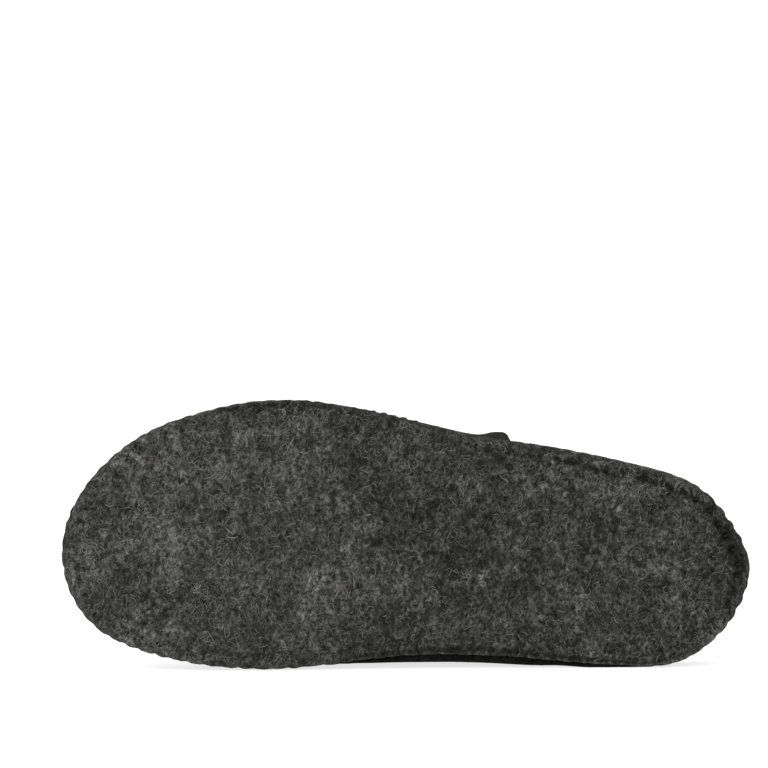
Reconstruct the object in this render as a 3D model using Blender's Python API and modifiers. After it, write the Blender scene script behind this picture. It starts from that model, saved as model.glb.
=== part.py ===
"""Felt slipper for the left foot: an open backed house shoe of thick wool felt.

The slipper is drawn in its own frame, in millimetres: x runs forward from the back of the
heel, y to the outer side of the foot, and z up from the tread. It is then laid on its inner
side, as it lies on a floor: the rim of the sole and the belly of the vamp both touch.
"""
import math

import bpy
import numpy as np
from mathutils import Vector

MM = 0.001

# Driving sizes of the slipper, in millimetres
SOLE_FELT = 5.0
UPPER_FELT = 3.0
SEAM_GAP = 0.3
RIM = 5.0
SEAM_LINE = 5.0
SEAM_DEPTH = 0.9
TOE_SPRING = 6.0
TOE_SPRING_START = 205.0
FLANGE_TOP = SOLE_FELT + SEAM_GAP + UPPER_FELT

# The vamp's free edge: it climbs from the rim to the wing corner, then sweeps up to the throat
WING_FOOT_X = 91.6
WING_CORNER_X = 97.2
WING_CORNER_TURN = 0.17
THROAT_X = 128.0
OUTER_WING_SPLAY = 4.5
INNER_WING_SPLAY = 0.0
SPLAY_REACH = 8.0
TOE_LAG = 29.0
TOE_LAG_START = 160.0

# Every wall stands on a fold inside the rim, then swells out; half of it by this height
WALL_FOOT = FLANGE_TOP + 1.0
SWELL_HEIGHT = 6.0

# The low band round the heel
BAND_TOP = 24.0
BAND_BACK_RISE = 3.0
BAND_JOINT_GAP = 0.4

# The footbed
FOOTBED_INSET = 9.0
FOOTBED_EDGE_ROUND = 0.8

# How it lies: the lean at which rim and vamp both touch the floor
LEAN_DEG = 4.7

# Mesh steps
OUTLINE_STATIONS = 56
VAMP_SECTIONS = 32
WING_STEPS = 4
CROWN_STEPS = 9
BAND_STATIONS = 22

# Rim of the sole, seen from above: landmark, x and y
SOLE_OUTLINE = (
    ("heel back", 0.0, -5.5),
    ("heel back, outer", 6.5, 11.5),
    ("heel corner, outer", 19.0, 25.8),
    ("heel, outer", 42.0, 34.8),
    ("waist, outer", 80.0, 43.0),
    ("instep, outer", 112.0, 48.3),
    ("behind the ball, outer", 145.0, 56.6),
    ("ball, outer", 182.0, 60.6),
    ("little toe", 212.3, 57.7),
    ("toes, outer", 238.6, 48.1),
    ("toe corner, outer", 258.0, 31.8),
    ("beside the tip, outer", 267.8, 15.0),
    ("toe tip", 270.0, 1.5),
    ("beside the tip, inner", 266.9, -13.4),
    ("toe corner, inner", 257.2, -26.9),
    ("big toe, inner", 238.0, -36.6),
    ("toe joint, inner", 205.0, -43.2),
    ("ball, inner", 180.0, -43.5),
    ("behind the ball, inner", 150.0, -40.2),
    ("waist, inner", 118.0, -38.5),
    ("instep, inner", 85.0, -40.4),
    ("heel, inner", 48.0, -43.6),
    ("heel side, inner", 30.0, -42.6),
    ("heel corner, inner", 14.9, -34.0),
    ("heel back, inner", 4.7, -21.0),
)

# Section through the edge of the sole: how far in from the rim, and height
SOLE_EDGE = (
    ("tread", 9.0, 0.0),
    ("inner side of the seam", 6.6, 0.15),
    ("seam line", SEAM_LINE, SEAM_DEPTH),
    ("outer side of the seam", 3.4, 0.4),
    ("under the lip", 1.9, 0.7),
    ("lower lip", 0.6, 1.8),
    ("rim", 0.0, 3.4),
    ("top of the rim", 0.3, SOLE_FELT),
)

# Ridge of the vamp, from the throat to the toe: x, y and z
VAMP_RIDGE = (
    (90.0, -3.0, 88.0),
    (128.0, -2.0, 75.0),
    (155.0, -1.0, 65.0),
    (185.0, 0.5, 54.0),
    (210.0, 1.5, 46.5),
    (235.0, 2.5, 39.5),
    (250.0, 2.0, 35.0),
    (268.0, 1.5, 27.0),
)

# How far a wall swells past its foot, and how square the vamp's shoulder is
BELLY = (
    # x, outer swell, inner swell, outer shoulder, inner shoulder
    (0.0, 6.0, 6.0, 2.5, 2.9),
    (20.0, 4.6, 4.6, 2.5, 2.9),
    (40.0, 4.2, 3.6, 2.5, 2.9),
    (58.0, 4.2, 4.6, 2.5, 2.9),
    (76.0, 4.9, 6.7, 2.5, 2.9),
    (94.0, 5.0, 7.5, 2.5, 2.9),
    (119.0, 6.4, 8.6, 2.5, 2.9),
    (138.0, 6.6, 8.6, 2.5, 2.9),
    (157.0, 7.0, 7.0, 2.5, 2.8),
    (185.0, 8.4, 3.7, 2.5, 2.7),
    (205.0, 7.8, 3.2, 2.4, 2.5),
    (235.0, 4.2, 3.2, 2.4, 2.4),
    (268.0, 3.5, 3.5, 2.4, 2.4),
)

# How far the inner flange reaches past the edge of the sole
FLANGE_REACH = (
    # x, reach
    (38.0, -0.4),
    (50.0, 0.4),
    (60.0, 1.2),
    (75.0, 1.5),
    (85.0, 2.3),
    (96.0, 2.6),
    (125.0, 2.6),
    (145.0, 1.6),
    (158.0, 0.4),
    (170.0, -0.4),
)
# Footbed: x, thickness in the middle, rise of the outer edge, rise of the inner edge
FOOTBED = (
    (8.0, 7.5, 5.0, 5.0),
    (40.0, 7.0, 4.5, 5.0),
    (90.0, 7.0, 2.0, 6.5),
    (125.0, 6.0, 1.0, 5.5),
    (160.0, 5.0, 0.6, 2.0),
    (200.0, 4.2, 0.5, 0.6),
    (262.0, 4.0, 0.8, 0.8),
)
# How far in from the footbed's own edge, and the share of the edge's rise there
FOOTBED_CUP = ((0.0, 1.0), (3.5, 0.78), (8.0, 0.42), (14.0, 0.12), (19.0, 0.0))

FELT_DARK = (0.052, 0.052, 0.049)
FELT_BLACK = (0.022, 0.022, 0.022)
FELT_GREY = (0.11, 0.108, 0.104)


def clear_scene():
    for obj in list(bpy.data.objects):
        bpy.data.objects.remove(obj, do_unlink=True)


def felt(name, colour):
    """A matt wool felt of one colour."""
    material = bpy.data.materials.new(name)
    material.use_nodes = True
    shader = material.node_tree.nodes["Principled BSDF"]
    shader.inputs["Base Color"].default_value = (*colour, 1.0)
    shader.inputs["Roughness"].default_value = 0.95
    shader.inputs["Metallic"].default_value = 0.0
    return material


def smooth_step(value):
    value = min(1.0, max(0.0, value))
    return value * value * (3.0 - 2.0 * value)


def mix(first, second, share):
    return first + (second - first) * share


def read_table(rows, x, column):
    """The column of a table at x, on a smooth curve through its rows."""
    xs = [row[0] for row in rows]
    ys = [row[column] for row in rows]
    if x <= xs[0]:
        return ys[0]
    if x >= xs[-1]:
        return ys[-1]
    i = max(k for k in range(len(xs) - 1) if xs[k] <= x)
    slopes = []
    for k in (i, i + 1):
        low, high = max(k - 1, 0), min(k + 1, len(xs) - 1)
        slopes.append((ys[high] - ys[low]) / (xs[high] - xs[low]))
    span = xs[i + 1] - xs[i]
    t = (x - xs[i]) / span
    rise = t * t * (3 - 2 * t)
    start = t * (1 - t) ** 2 * span * slopes[0]
    end = t * t * (t - 1) * span * slopes[1]
    return ys[i] + (ys[i + 1] - ys[i]) * rise + start + end


def closed_curve(points, steps=24):
    """A smooth closed curve through the points, as a cyclic cubic spline."""
    points = np.array(points, float)
    count = len(points)
    after = np.roll(points, -1, axis=0)
    gap = np.linalg.norm(after - points, axis=1)
    gap_before = np.roll(gap, 1)
    matrix = np.zeros((count, count))
    for i in range(count):
        matrix[i, i - 1] += gap_before[i]
        matrix[i, i] += 2 * (gap_before[i] + gap[i])
        matrix[i, (i + 1) % count] += gap[i]
    slope = (after - points) / gap[:, None]
    bend = np.linalg.solve(matrix, 6 * (slope - np.roll(slope, 1, axis=0)))
    curve = []
    for i in range(count):
        j = (i + 1) % count
        for k in range(steps):
            b = k / steps
            a = 1 - b
            pull = (a**3 - a) * bend[i] + (b**3 - b) * bend[j]
            curve.append(a * points[i] + b * points[j] + pull * gap[i] ** 2 / 6)
    return np.array(curve)


class Outline:
    """The rim of the sole in plan, read by side and x, with its outward direction."""

    def __init__(self, landmarks):
        curve = closed_curve([(x, y) for _, x, y in landmarks])
        along = np.roll(curve, -1, axis=0) - np.roll(curve, 1, axis=0)
        out = np.stack([along[:, 1], -along[:, 0]], axis=1)
        out /= -np.linalg.norm(out, axis=1)[:, None]
        back, tip = curve[:, 0].argmin(), curve[:, 0].argmax()
        count = len(curve)
        outer = [(back + i) % count for i in range((tip - back) % count + 1)]
        inner = [(back - i) % count for i in range((back - tip) % count + 1)]
        self.low, self.high = curve[back, 0], curve[tip, 0]
        self.rows = {}
        for side, order in (("outer", outer), ("inner", inner)):
            self.rows[side] = np.column_stack([curve[order], out[order]])
            self.rows[side][0, 2:] = (-1.0, 0.0)
            self.rows[side][-1, 2:] = (1.0, 0.0)

    def at(self, side, x, inset=0.0):
        """Plan point on that side, moved in from the rim, and the outward direction."""
        rows = self.rows[side]
        y, out_x, out_y = (np.interp(x, rows[:, 0], rows[:, k]) for k in (1, 2, 3))
        length = math.hypot(out_x, out_y)
        out = Vector((out_x / length, out_y / length))
        return Vector((x, y)) - out * inset, out

    def stations(self, count):
        """(side, x) once round the rim, from the heel along the outer side."""
        middle, half = (self.low + self.high) / 2, (self.high - self.low) / 2
        xs = [middle - half * math.cos(math.pi * k / count) for k in range(count + 1)]
        xs[0], xs[-1] = self.low, self.high
        return [("outer", x) for x in xs] + [("inner", x) for x in xs[-2:0:-1]]


OUTLINE = Outline(SOLE_OUTLINE)


def tread_height(x):
    """The toe spring: how far the tread has left the floor of a standing slipper."""
    share = (x - TOE_SPRING_START) / (OUTLINE.high - TOE_SPRING_START)
    return TOE_SPRING * max(0.0, share) ** 2


def placed(plan, height):
    """The point in metres, at a height above the tread."""
    return Vector((plan.x, plan.y, height + tread_height(plan.x))) * MM


def mesh_object(name, points, faces, material, smooth_angle=40.0):
    mesh = bpy.data.meshes.new(name)
    mesh.from_pydata([tuple(p) for p in points], [], faces)
    mesh.shade_smooth()
    mesh.set_sharp_from_angle(angle=math.radians(smooth_angle))
    mesh.materials.append(material)
    obj = bpy.data.objects.new(name, mesh)
    SLIPPER.objects.link(obj)
    return obj


def strip_between(first, second):
    """Quads between two rows of vertex numbers."""
    pairs = range(len(first) - 1)
    return [(first[i], first[i + 1], second[i + 1], second[i]) for i in pairs]


def cap(ring):
    """Faces across a ring of stations, from the outer side to the inner."""
    count, half = len(ring), len(ring) // 2
    faces = [(ring[0], ring[1], ring[-1]), (ring[half], ring[half + 1], ring[half - 1])]
    for i in range(1, half - 1):
        faces.append((ring[i], ring[i + 1], ring[count - i - 1], ring[count - i]))
    return faces


def stacked_rings(name, rings, material):
    """A closed solid from rings of points, each joined to the next, with both ends capped."""
    points = [p for ring in rings for p in ring]
    count = len(rings[0])
    numbers = [list(range(k * count, (k + 1) * count)) for k in range(len(rings))]
    faces = cap(numbers[0]) + [face[::-1] for face in cap(numbers[-1])]
    for low, high in zip(numbers, numbers[1:]):
        faces += strip_between(high + high[:1], low + low[:1])
    return mesh_object(name, points, faces, material)


def make_outsole():
    """The tread: one sheet of thick felt, with the sunken seam line that gathers its rim."""
    stations = OUTLINE.stations(OUTLINE_STATIONS)
    rings = [
        [placed(OUTLINE.at(side, x, inset)[0], height) for side, x in stations]
        for _, inset, height in SOLE_EDGE
    ]
    inside = [placed(OUTLINE.at(side, x, 9.0)[0], SOLE_FELT) for side, x in stations]
    return stacked_rings("outsole", rings + [inside], felt("sole_felt", FELT_DARK))


def make_footbed():
    """The insole: thicker under the heel, with a cupped heel and a raised arch."""
    stations = OUTLINE.stations(OUTLINE_STATIONS)
    base = SOLE_FELT + SEAM_GAP

    def top(side, x, share):
        rise = read_table(FOOTBED, x, 2 if side == "outer" else 3)
        return base + read_table(FOOTBED, x, 1) + rise * share

    def ring(inset, share, drop=0.0):
        points = []
        for side, x in stations:
            plan = OUTLINE.at(side, x, FOOTBED_INSET + inset)[0]
            points.append(placed(plan, top(side, plan.x, share) - drop))
        return points

    bottom = [
        placed(OUTLINE.at(side, x, FOOTBED_INSET)[0], base) for side, x in stations
    ]
    rings = [bottom, ring(0.0, 1.0, drop=FOOTBED_EDGE_ROUND)]
    rings.append(ring(FOOTBED_EDGE_ROUND, 1.0))
    rings += [ring(inset, share) for inset, share in FOOTBED_CUP[1:]]
    return stacked_rings("footbed", rings, felt("footbed_felt", FELT_GREY))


def vamp_edge_x(turn):
    """Where the vamp ends: x of its free edge at a turn from the rim, 0, to the ridge, 1."""
    if turn <= WING_CORNER_TURN:
        return mix(WING_FOOT_X, WING_CORNER_X, (turn / WING_CORNER_TURN) ** 2)
    sweep = (turn - WING_CORNER_TURN) / (1 - WING_CORNER_TURN)
    return mix(WING_CORNER_X, THROAT_X, 1 - (1 - sweep) ** 2)


def ridge_x(foot_x):
    """Where the section that stands on the rim at foot_x reaches the ridge."""
    share = (foot_x - TOE_LAG_START) / (OUTLINE.high - RIM - TOE_LAG_START)
    return foot_x - TOE_LAG * max(0.0, share) ** 2


def belly(side, x, height):
    """How far the wall has swelled outwards at a height above its foot."""
    share = height**2 / (height**2 + SWELL_HEIGHT**2)
    return read_table(BELLY, x, 1 if side == "outer" else 2) * share


def vamp_point(side, foot_x, turn):
    """Outer face of the vamp: a section that stands on the rim and bends over to the ridge."""
    outer = side == "outer"
    rim_x = foot_x + RIM * smooth_step((foot_x - TOE_LAG_START) / 90.0)
    rim_x = min(rim_x, OUTLINE.high)
    foot, out = OUTLINE.at(side, rim_x, RIM)
    top_x = ridge_x(foot_x)
    top = Vector((top_x, read_table(VAMP_RIDGE, top_x, 1)))
    shoulder = 2 / read_table(BELLY, foot_x, 3 if outer else 4)
    angle = turn * math.pi / 2
    inward = 1 - math.cos(angle) ** shoulder if turn < 1 else 1.0
    climb = math.sin(angle) ** shoulder
    top_height = read_table(VAMP_RIDGE, top_x, 2) - tread_height(top_x) - WALL_FOOT
    swell = belly(side, foot_x, climb * top_height) * (1 - inward)
    behind = max(0.0, foot_x - vamp_edge_x(turn))
    splay = (OUTER_WING_SPLAY if outer else INNER_WING_SPLAY) * math.exp(
        -behind / SPLAY_REACH
    )
    lift = smooth_step((turn / WING_CORNER_TURN - 0.42) / 0.58)
    lift *= 1 - smooth_step((turn - 0.2) / 0.5)
    plan = foot.lerp(top, inward) + out * (swell + splay * lift)
    ridge = read_table(VAMP_RIDGE, plan.x, 2) - tread_height(plan.x)
    return placed(plan, WALL_FOOT + (ridge - WALL_FOOT) * climb)


def wing_turn(side, height):
    """The turn at which the vamp's wing reaches a height above the tread."""
    shoulder = 2 / read_table(BELLY, WING_FOOT_X, 3 if side == "outer" else 4)
    rise = read_table(VAMP_RIDGE, WING_FOOT_X, 2) - WALL_FOOT
    climb = (height - WALL_FOOT) / rise
    return math.asin(max(0.0, climb) ** (1 / shoulder)) / (math.pi / 2)


def shell(name, points, faces, material):
    """An open surface thickened inwards to the felt's thickness."""
    obj = mesh_object(name, points, faces, material)
    wall = obj.modifiers.new("felt", "SOLIDIFY")
    wall.thickness = UPPER_FELT * MM
    wall.offset = -1.0
    wall.use_even_offset = True
    wall.use_quality_normals = True
    return obj


def flange_insets(side, x):
    """Points across the flange, from its edge to the foot of the wall."""
    reach = -0.4 if side == "outer" else read_table(FLANGE_REACH, x, 1)
    return -reach, 2.4, RIM - 0.9


def make_vamp():
    """The upper: it covers toes and instep, open at the back and underneath."""
    low = [WING_CORNER_TURN * k / WING_STEPS for k in range(WING_STEPS)]
    rest = 1 - WING_CORNER_TURN
    high = [WING_CORNER_TURN + rest * k / CROWN_STEPS for k in range(CROWN_STEPS + 1)]
    turns = low + high
    last_foot = OUTLINE.high - RIM
    points, rows = [], []

    def half_section(side, share):
        """From the edge of the flange up to the ridge."""
        made = []
        flange_x = mix(WING_FOOT_X, OUTLINE.high, share)
        for inset in flange_insets(side, flange_x):
            made.append(placed(OUTLINE.at(side, flange_x, inset)[0], FLANGE_TOP))
        for turn in turns:
            start = vamp_edge_x(turn)
            made.append(vamp_point(side, mix(start, last_foot, share), turn))
        return made

    for k in range(VAMP_SECTIONS + 1):
        share = math.sin(math.pi / 2 * k / VAMP_SECTIONS)
        inner = half_section("inner", share)
        first = len(points)
        points += inner
        row = list(range(first, len(points)))
        if k < VAMP_SECTIONS:
            outer = half_section("outer", share)[:-1]
            points += outer[::-1]
            row += list(range(first + len(inner), len(points)))
        else:
            row += row[-2::-1]
        rows.append(row)
    faces = [f for a, b in zip(rows, rows[1:]) for f in strip_between(b, a)]
    return shell("vamp", points, faces, felt("vamp_felt", FELT_BLACK))


def band_height(x):
    """Top of the heel band, a little higher behind the heel."""
    return BAND_TOP + BAND_BACK_RISE * (1 - smooth_step(x / 45.0))


def make_heel_band():
    """The low felt wall round the heel, butted against both wings of the vamp."""
    limit = WING_FOOT_X - BAND_JOINT_GAP
    xs = [
        OUTLINE.low + (limit - OUTLINE.low) * (1 - math.cos(math.pi / 2 * k / BAND_STATIONS))
        for k in range(BAND_STATIONS + 1)
    ]
    around = [("inner", x) for x in xs[:0:-1]] + [("outer", x) for x in xs]
    points, rows = [], []
    for side, x in around:
        row = []
        for inset in flange_insets(side, x):
            row.append(placed(OUTLINE.at(side, x, inset)[0], FLANGE_TOP))
        top = band_height(x)
        for share in (0.0, 0.12, 0.3, 0.5, 0.75, 1.0):
            height = mix(WALL_FOOT, top, share)
            forward = vamp_edge_x(wing_turn(side, height)) - WING_FOOT_X
            foot, out = OUTLINE.at(side, x + forward * (x / limit) ** 2, RIM)
            row.append(placed(foot + out * belly(side, x, height - WALL_FOOT), height))
        first = len(points)
        points += row
        rows.append(list(range(first, len(points))))
    faces = [f for a, b in zip(rows, rows[1:]) for f in strip_between(a, b)]
    return shell("heel_band", points, faces, felt("band_felt", FELT_BLACK))


def lay_down(pieces):
    """Turns the slipper onto its inner side, toe towards -x and tread towards -y."""
    ground = bpy.data.objects.new("lying", None)
    SLIPPER.objects.link(ground)
    ground.rotation_euler = (math.radians(90 + LEAN_DEG), 0.0, math.radians(180))
    for piece in pieces:
        piece.parent = ground
    bpy.context.view_layer.update()
    graph = bpy.context.evaluated_depsgraph_get()
    corners = []
    for piece in pieces:
        evaluated = piece.evaluated_get(graph)
        mesh = evaluated.to_mesh()
        corners += [evaluated.matrix_world @ v.co for v in mesh.vertices]
        evaluated.to_mesh_clear()
    low = [min(c[k] for c in corners) for k in range(3)]
    high = [max(c[k] for c in corners) for k in range(3)]
    ground.location = (-(low[0] + high[0]) / 2, -(low[1] + high[1]) / 2, -low[2])
    bpy.context.view_layer.update()


clear_scene()
SLIPPER = bpy.data.collections.new("felt_slipper")
bpy.context.scene.collection.children.link(SLIPPER)
lay_down([make_outsole(), make_footbed(), make_vamp(), make_heel_band()])
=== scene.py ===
"""Looks of the felt slipper: boiled wool felt, gathered rim, yarn stitches and loose fibres.

Everything is laid out in the slipper's own frame, in millimetres, and then turned into the
row frame: x runs from the back of the heel to the toe, y to the outer side, z up from the
tread. The slipper lies on its inner side, so the tread faces the camera.
"""

import math

import bpy
import numpy as np
from mathutils import Matrix, Vector
from mathutils.bvhtree import BVHTree


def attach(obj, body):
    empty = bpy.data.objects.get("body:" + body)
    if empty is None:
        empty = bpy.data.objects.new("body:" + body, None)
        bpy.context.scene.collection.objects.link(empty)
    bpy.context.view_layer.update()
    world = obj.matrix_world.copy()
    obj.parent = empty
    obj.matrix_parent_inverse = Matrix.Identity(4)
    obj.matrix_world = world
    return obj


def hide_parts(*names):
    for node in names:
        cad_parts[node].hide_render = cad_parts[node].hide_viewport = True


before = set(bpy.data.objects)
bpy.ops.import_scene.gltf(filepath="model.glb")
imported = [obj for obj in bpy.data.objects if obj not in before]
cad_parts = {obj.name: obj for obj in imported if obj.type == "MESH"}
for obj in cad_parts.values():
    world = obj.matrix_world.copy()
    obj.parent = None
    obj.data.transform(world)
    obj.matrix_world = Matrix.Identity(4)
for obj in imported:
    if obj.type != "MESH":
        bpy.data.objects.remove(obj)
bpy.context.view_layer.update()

# Sizes shared with the solids, in millimetres
SOLE_FELT = 5.0
UPPER_FELT = 3.0
SEAM_GAP = 0.3
RIM = 5.0
TOE_SPRING = 6.0
TOE_SPRING_START = 205.0
FLANGE_TOP = SOLE_FELT + SEAM_GAP + UPPER_FELT
WALL_FOOT = FLANGE_TOP + 1.0
SWELL_HEIGHT = 6.0
WING_FOOT_X = 91.6
WING_CORNER_X = 97.2
WING_CORNER_TURN = 0.17
THROAT_X = 128.0
OUTER_WING_SPLAY = 4.5
SPLAY_REACH = 8.0
TOE_LAG = 29.0
TOE_LAG_START = 160.0
BAND_TOP = 24.0
BAND_BACK_RISE = 3.0
FOOTBED_INSET = 9.0
LEAN_DEG = 4.7

# The rim of the sole in plan, x and y
SOLE_OUTLINE = (
    # outer side, from the back of the heel to the instep
    (0.0, -5.5), (6.5, 11.5), (19.0, 25.8), (42.0, 34.8), (80.0, 43.0), (112.0, 48.3),
    # ball, little toe and the round of the toes to the tip
    (145.0, 56.6), (182.0, 60.6), (212.3, 57.7), (238.6, 48.1), (258.0, 31.8),
    (267.8, 15.0), (270.0, 1.5),
    # inner side, from the tip past the big toe to the ball
    (266.9, -13.4), (257.2, -26.9), (238.0, -36.6), (205.0, -43.2), (180.0, -43.5),
    # waist, instep and heel
    (150.0, -40.2), (118.0, -38.5), (85.0, -40.4), (48.0, -43.6), (30.0, -42.6),
    (14.9, -34.0), (4.7, -21.0),
)
VAMP_RIDGE = (
    # x, y, z
    (90.0, -3.0, 88.0), (128.0, -2.0, 75.0), (155.0, -1.0, 65.0), (185.0, 0.5, 54.0),
    (210.0, 1.5, 46.5), (235.0, 2.5, 39.5), (250.0, 2.0, 35.0), (268.0, 1.5, 27.0),
)
BELLY = (
    # x, outer swell, inner swell, outer shoulder, inner shoulder
    (0.0, 6.0, 6.0, 2.5, 2.9), (20.0, 4.6, 4.6, 2.5, 2.9),
    (40.0, 4.2, 3.6, 2.5, 2.9), (58.0, 4.2, 4.6, 2.5, 2.9),
    (76.0, 4.9, 6.7, 2.5, 2.9), (94.0, 5.0, 7.5, 2.5, 2.9),
    (119.0, 6.4, 8.6, 2.5, 2.9), (138.0, 6.6, 8.6, 2.5, 2.9),
    (157.0, 7.0, 7.0, 2.5, 2.8), (185.0, 8.4, 3.7, 2.5, 2.7),
    (205.0, 7.8, 3.2, 2.4, 2.5), (235.0, 4.2, 3.2, 2.4, 2.4),
    (268.0, 3.5, 3.5, 2.4, 2.4),
)
# How far the inner flange reaches past the edge of the sole
FLANGE_REACH = (
    # x, reach
    (38.0, -0.4), (50.0, 0.4), (60.0, 1.2), (75.0, 1.5), (85.0, 2.3),
    (96.0, 2.6), (125.0, 2.6), (145.0, 1.6), (158.0, 0.4), (170.0, -0.4),
)
FOOTBED = (
    # x, thickness in the middle, rise of the outer edge, rise of the inner edge
    (8.0, 7.5, 5.0, 5.0), (40.0, 7.0, 4.5, 5.0),
    (90.0, 7.0, 2.0, 6.5), (125.0, 6.0, 1.0, 5.5),
    (160.0, 5.0, 0.6, 2.0), (200.0, 4.2, 0.5, 0.6),
    (262.0, 4.0, 0.8, 0.8),
)
FOOTBED_CUP = ((0.0, 1.0), (3.5, 0.78), (8.0, 0.42), (14.0, 0.12), (19.0, 0.0))

# Section of the sole's felt as it looks once sewn: inset from the rim, height
SOLE_SECTION = (
    (9.5, 5.0), (4.0, 5.0), (1.2, 5.0), (0.5, 4.8), (0.15, 4.4), (0.0, 3.9), (0.0, 3.4),
    (0.05, 2.9), (0.2, 2.35), (0.45, 1.85), (0.8, 1.4), (1.2, 1.0), (1.7, 0.7), (2.2, 0.5),
    (2.8, 0.38), (3.4, 0.42), (4.0, 0.62), (4.5, 0.85), (5.0, 0.98), (5.5, 0.92),
    (6.0, 0.72), (6.6, 0.45), (7.3, 0.24), (8.2, 0.1), (9.2, 0.03), (10.4, 0.0), (12.0, 0.0),
)

# Whip stitches
STITCH_PITCH = 6.6
STITCH_INSET = 5.0
YARN = 0.95
# What the seam shows, by the share of the way round the rim from the back of the heel. The
# outer side comes first, and the toe at about a half
SEAM_SHOW = (
    # share, lobes between the stitches, stitch holes, dark sunk edge, pale fuzz at the edge
    (0.0, 1.35, 1.2, 1.0, 0.0), (0.02, 1.2, 1.2, 1.0, 0.0),
    (0.045, 0.5, 1.1, 0.55, 0.1), (0.075, 0.1, 1.1, 0.12, 0.3),
    (0.11, 0.08, 1.0, 0.0, 0.3), (0.16, 0.1, 0.7, 0.0, 0.2),
    (0.22, 0.2, 0.4, 0.0, 0.1), (0.25, 0.35, 0.35, 0.0, 0.1),
    (0.31, 0.25, 0.15, 0.0, 0.1), (0.4, 0.3, 0.4, 0.0, 0.05),
    (0.5, 0.3, 0.55, 0.0, 0.0), (0.58, 0.38, 0.6, 0.0, 0.0),
    (0.66, 0.32, 0.4, 0.0, 0.0), (0.75, 0.2, 0.25, 0.0, 0.1),
    (0.9, 0.15, 0.3, 0.0, 0.25), (0.945, 0.2, 0.35, 0.0, 0.85),
    (0.96, 0.4, 0.5, 0.08, 0.9), (0.974, 0.8, 0.8, 0.6, 0.2),
    (1.0, 1.35, 1.2, 1.0, 0.0),
)


def smooth_step(value):
    value = np.clip(value, 0.0, 1.0)
    return value * value * (3.0 - 2.0 * value)


def fade(value):
    """1 up to 0, then smoothly down to 0 at 1."""
    return 1 - smooth_step(value)


def bell(value):
    return np.exp(-(value**2))


def mix(first, second, share):
    return first + (second - first) * share


def unit(vectors):
    """The vectors at a length of 1."""
    length = np.linalg.norm(vectors, axis=-1, keepdims=True)
    return vectors / np.maximum(length, 1e-9)


def read_table(rows, x, column):
    """The column of a table at x, on a smooth curve through its rows."""
    xs = np.array([row[0] for row in rows], float)
    ys = np.array([row[column] for row in rows], float)
    count = len(xs)
    low = np.maximum(np.arange(count) - 1, 0)
    high = np.minimum(np.arange(count) + 1, count - 1)
    slopes = (ys[high] - ys[low]) / (xs[high] - xs[low])
    x = np.clip(np.asarray(x, float), xs[0], xs[-1])
    i = np.clip(np.searchsorted(xs, x, side="right") - 1, 0, count - 2)
    span = xs[i + 1] - xs[i]
    t = (x - xs[i]) / span
    ends = t * (1 - t) ** 2 * slopes[i] + t * t * (t - 1) * slopes[i + 1]
    return mix(ys[i], ys[i + 1], smooth_step(t)) + ends * span


def closed_curve(points, steps=60):
    """A smooth closed curve through the points, as a cyclic cubic spline."""
    points = np.array(points, float)
    count = len(points)
    after = np.roll(points, -1, axis=0)
    gap = np.linalg.norm(after - points, axis=1)
    gap_before = np.roll(gap, 1)
    matrix = np.diag(2 * (gap_before + gap))
    for i in range(count):
        matrix[i, i - 1] += gap_before[i]
        matrix[i, (i + 1) % count] += gap[i]
    slope = (after - points) / gap[:, None]
    bend = np.linalg.solve(matrix, 6 * (slope - np.roll(slope, 1, axis=0)))
    b = (np.arange(steps) / steps)[:, None]
    a = 1 - b
    curve = []
    for i in range(count):
        j = (i + 1) % count
        pull = (a**3 - a) * bend[i] + (b**3 - b) * bend[j]
        curve.append(a * points[i] + b * points[j] + pull * gap[i] ** 2 / 6)
    return np.concatenate(curve)


class Rim:
    """The rim of the sole in plan, read by its length from the heel's back, or by side and x."""

    def __init__(self, landmarks):
        curve = closed_curve(landmarks)
        curve = np.roll(curve, -curve[:, 0].argmin(), axis=0)
        after = np.roll(curve, -1, axis=0)
        along = after - np.roll(curve, 1, axis=0)
        out = unit(np.stack([-along[:, 1], along[:, 0]], axis=1))
        steps = np.linalg.norm(after - curve, axis=1)
        self.s = np.concatenate([[0.0], np.cumsum(steps)])
        self.length = self.s[-1]
        self.rows = np.concatenate([np.hstack([curve, out]), [[*curve[0], *out[0]]]])
        tip = curve[:, 0].argmax()
        self.low, self.high = curve[0, 0], curve[tip, 0]
        self.inner_y = curve[:, 1].min()
        self.outer = (self.rows[: tip + 1, 0], self.s[: tip + 1])
        self.inner = (self.rows[: tip - 1 : -1, 0], self.s[: tip - 1 : -1])

    def at(self, s, inset=0.0):
        """Plan points moved in from the rim, and the outward directions."""
        s = np.mod(s, self.length)
        x, y, out_x, out_y = (np.interp(s, self.s, self.rows[:, k]) for k in range(4))
        out = unit(np.stack([out_x, out_y], axis=-1))
        return np.stack([x, y], axis=-1) - out * np.asarray(inset)[..., None], out

    def s_at(self, side, x):
        xs, s = self.outer if side == "outer" else self.inner
        return np.interp(x, xs, s)


RIM_LINE = Rim(SOLE_OUTLINE)


def tread_height(x):
    share = (x - TOE_SPRING_START) / (RIM_LINE.high - TOE_SPRING_START)
    return TOE_SPRING * np.maximum(0.0, share) ** 2


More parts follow.
